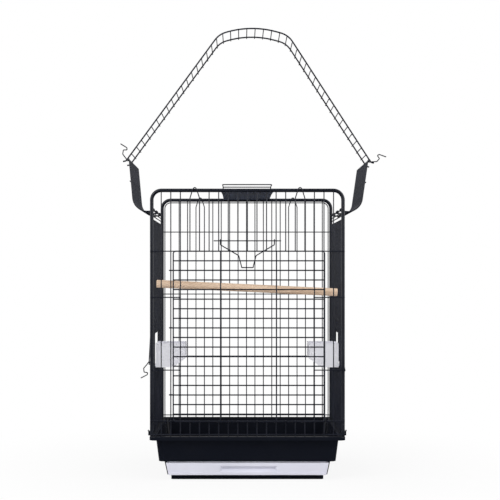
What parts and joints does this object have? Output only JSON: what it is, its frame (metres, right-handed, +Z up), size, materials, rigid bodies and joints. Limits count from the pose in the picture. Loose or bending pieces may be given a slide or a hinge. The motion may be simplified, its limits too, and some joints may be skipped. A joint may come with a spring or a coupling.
{
  "type": "bird flight cage",
  "caption": "Tall wire bird cage on a tub with a slide-out litter drawer; large front door, open curved roof doors bridged by a wire ladder arch, feeder doors, cups and perch.",
  "frame": {"origin": "centre of the cage's footprint on the floor, midway between the front and rear hoops and the two side panels", "axes": "+Z up, +X to the right seen from the front, +Y from the front door to the back"},
  "size_m": [0.6236, 0.3741, 1.0561],
  "materials": {
    "wire_enamel": "satin enamel",
    "tube_enamel": "satin enamel",
    "plate_enamel": "satin enamel",
    "tub_plastic": "moulded gloss",
    "drawer_plastic": "moulded satin",
    "cup_plastic": "moulded satin",
    "perch_wood": "bare sanded",
    "clip_steel": "bright plated",
    "hook_wire": "satin enamel"
  },
  "bodies": {
    "cage": {"base_tub": "tub_plastic", "drawer_housing": "tub_plastic", "floor_grate": "wire_enamel", "front_hoop": "tube_enamel", "rear_hoop": "tube_enamel", "front_upper_grille": "wire_enamel", "front_left_grille": "wire_enamel", "front_right_grille": "wire_enamel", "front_lower_grille": "wire_enamel", "rear_grille": "wire_enamel", "bridge_plate": "plate_enamel", "latch_rod": "wire_enamel", "left_side_upper_grille": "wire_enamel", "left_side_front_grille": "wire_enamel", "left_side_rear_grille": "wire_enamel", "left_side_middle_grille": "wire_enamel", "left_side_lower_grille": "wire_enamel", "left_feeder_sill": "wire_enamel", "left_roof_rail": "wire_enamel", "right_side_upper_grille": "wire_enamel", "right_side_front_grille": "wire_enamel", "right_side_rear_grille": "wire_enamel", "right_side_middle_grille": "wire_enamel", "right_side_lower_grille": "wire_enamel", "right_feeder_sill": "wire_enamel", "right_roof_rail": "wire_enamel"},
    "drawer": {"drawer": "drawer_plastic", "drawer_front": "drawer_plastic"},
    "carry_handle": {"carry_handle": "wire_enamel"},
    "left_roof_door": {"left_roof_door": "wire_enamel"},
    "right_roof_door": {"right_roof_door": "wire_enamel"},
    "left_roof_hook": {"left_roof_hook": "hook_wire"},
    "right_roof_hook": {"right_roof_hook": "hook_wire"},
    "roof_arch": {"roof_arch": "wire_enamel"},
    "front_door": {"front_door": "wire_enamel"},
    "latch_lever": {"latch_lever": "wire_enamel"},
    "left_feeder_door": {"left_feeder_door": "wire_enamel"},
    "right_feeder_door": {"right_feeder_door": "wire_enamel"},
    "left_feeder_hook": {"left_feeder_hook": "hook_wire"},
    "right_feeder_hook": {"right_feeder_hook": "hook_wire"},
    "left_feed_cup": {"left_feed_cup": "cup_plastic"},
    "right_feed_cup": {"right_feed_cup": "cup_plastic"},
    "perch": {"perch": "perch_wood"},
    "left_front_rim_clip": {"left_front_rim_clip": "clip_steel"},
    "left_rear_rim_clip": {"left_rear_rim_clip": "clip_steel"},
    "right_front_rim_clip": {"right_front_rim_clip": "clip_steel"},
    "right_rear_rim_clip": {"right_rear_rim_clip": "clip_steel"}
  },
  "joints": [
    {"name": "drawer_slide", "type": "slide", "parent": "cage", "child": "drawer", "axis": [0, -1, 0], "range_m": [0, 0.3]},
    {"name": "handle_lift", "type": "hinge", "parent": "cage", "child": "carry_handle", "pos_m": [0, 0, 0.6748], "axis": [-1, 0, 0], "range_deg": [0, 90]},
    {"name": "left_roof_door_close", "type": "hinge", "parent": "cage", "child": "left_roof_door", "pos_m": [-0.2224, 0, 0.628], "axis": [0, 1, 0], "range_deg": [0, 95.2]},
    {"name": "right_roof_door_close", "type": "hinge", "parent": "cage", "child": "right_roof_door", "pos_m": [0.2224, 0, 0.628], "axis": [0, -1, 0], "range_deg": [0, 98.2]},
    {"name": "left_roof_hook_turn", "type": "hinge", "parent": "left_roof_door", "child": "left_roof_hook", "pos_m": [-0.27962, -0.12765, 0.74479], "axis": [0, -1, 0], "range_deg": [-150, 90]},
    {"name": "right_roof_hook_turn", "type": "hinge", "parent": "right_roof_door", "child": "right_roof_hook", "pos_m": [0.28565, -0.12765, 0.74164], "axis": [0, 1, 0], "range_deg": [-60, 150]},
    {"name": "roof_arch_lift", "type": "slide", "parent": "cage", "child": "roof_arch", "axis": [0, 0, 1], "range_m": [0, 0.15]},
    {"name": "front_door_swing", "type": "hinge", "parent": "cage", "child": "front_door", "pos_m": [-0.176, -0.18065, 0.334], "axis": [0, 0, -1], "range_deg": [0, 95]},
    {"name": "latch_lever_swing", "type": "hinge", "parent": "cage", "child": "latch_lever", "pos_m": [0, -0.1781, 0.553], "axis": [1, 0, 0], "range_deg": [0, 60]},
    {"name": "left_feeder_door_swing", "type": "hinge", "parent": "cage", "child": "left_feeder_door", "pos_m": [-0.2224, -0.03328, 0.366], "axis": [0, 1, 0], "range_deg": [-3, 97]},
    {"name": "right_feeder_door_swing", "type": "hinge", "parent": "cage", "child": "right_feeder_door", "pos_m": [0.2224, -0.03328, 0.366], "axis": [0, -1, 0], "range_deg": [0, 100]},
    {"name": "left_feeder_hook_turn", "type": "hinge", "parent": "left_feeder_door", "child": "left_feeder_hook", "pos_m": [-0.23293, -0.08475, 0.26441], "axis": [0, 1, 0], "range_deg": [-30, 90]},
    {"name": "right_feeder_hook_turn", "type": "hinge", "parent": "right_feeder_door", "child": "right_feeder_hook", "pos_m": [0.2276, -0.08475, 0.264], "axis": [0, -1, 0], "range_deg": [0, 120]},
    {"name": "left_feed_cup_lift", "type": "slide", "parent": "cage", "child": "left_feed_cup", "axis": [0, 0, 1], "range_m": [0, 0.0045]},
    {"name": "right_feed_cup_lift", "type": "slide", "parent": "cage", "child": "right_feed_cup", "axis": [0, 0, 1], "range_m": [0, 0.0045]},
    {"name": "perch_slide", "type": "slide", "parent": "cage", "child": "perch", "axis": [0, 0, 1], "range_m": [-0.08, 0.14]},
    {"name": "left_front_rim_clip_turn", "type": "hinge", "parent": "cage", "child": "left_front_rim_clip", "pos_m": [-0.2293, -0.12203, 0.1052], "axis": [0, -1, 0], "range_deg": [0, 100]},
    {"name": "left_rear_rim_clip_turn", "type": "hinge", "parent": "cage", "child": "left_rear_rim_clip", "pos_m": [-0.2293, 0.12203, 0.1052], "axis": [0, -1, 0], "range_deg": [0, 100]},
    {"name": "right_front_rim_clip_turn", "type": "hinge", "parent": "cage", "child": "right_front_rim_clip", "pos_m": [0.2293, -0.12203, 0.1052], "axis": [0, 1, 0], "range_deg": [0, 100]},
    {"name": "right_rear_rim_clip_turn", "type": "hinge", "parent": "cage", "child": "right_rear_rim_clip", "pos_m": [0.2293, 0.12203, 0.1052], "axis": [0, 1, 0], "range_deg": [0, 100]}
  ]
}
